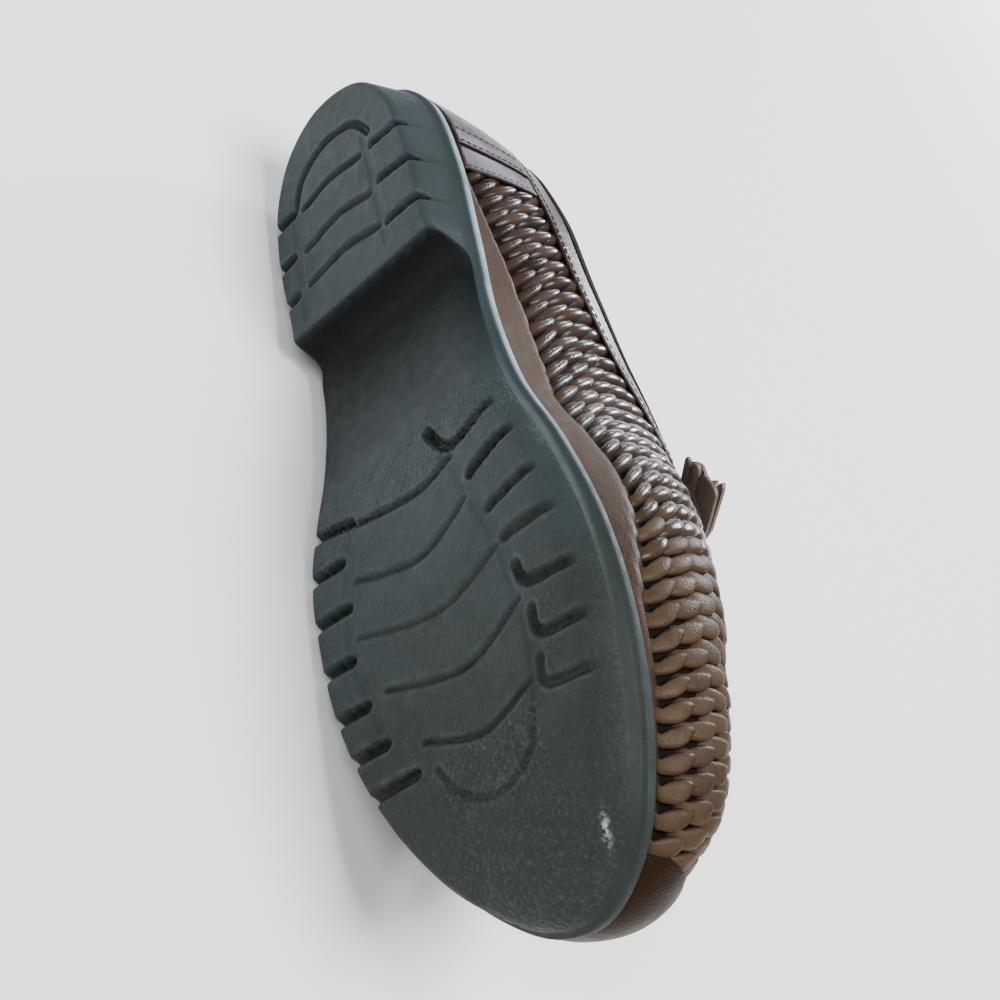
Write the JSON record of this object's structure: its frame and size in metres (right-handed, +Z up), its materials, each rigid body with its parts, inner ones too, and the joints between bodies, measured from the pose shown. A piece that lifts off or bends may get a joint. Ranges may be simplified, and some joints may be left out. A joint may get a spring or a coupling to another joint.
{
  "type": "woven leather slip-on shoe",
  "caption": "Low slip-on shoe with a woven leather upper, smooth counter and collar, a tassel on the vamp strap and a lugged rubber sole, lying on its outer side.",
  "frame": {"origin": "middle of the footprint on the floor the shoe lies on", "axes": "+X from heel to toe, +Y from the sole to the collar, +Z up, so the outer side of the shoe is down"},
  "size_m": [0.3, 0.1178, 0.1111],
  "materials": {
    "rubber": "matte moulded rubber with a fine pebble",
    "woven": "polished woven leather strips, worn",
    "smooth": "smooth polished leather",
    "lining": "unpolished lining leather"
  },
  "bodies": {
    "root": {"outsole": "rubber", "insole": "lining", "upper": "woven", "heel_counter": "smooth", "collar": "smooth", "toe_cap": "smooth", "apron": "smooth", "strap": "smooth", "knot_inner": "smooth", "knot_outer": "smooth", "tassel_inner": "smooth", "tassel_outer": "smooth"}
  },
  "joints": []
}
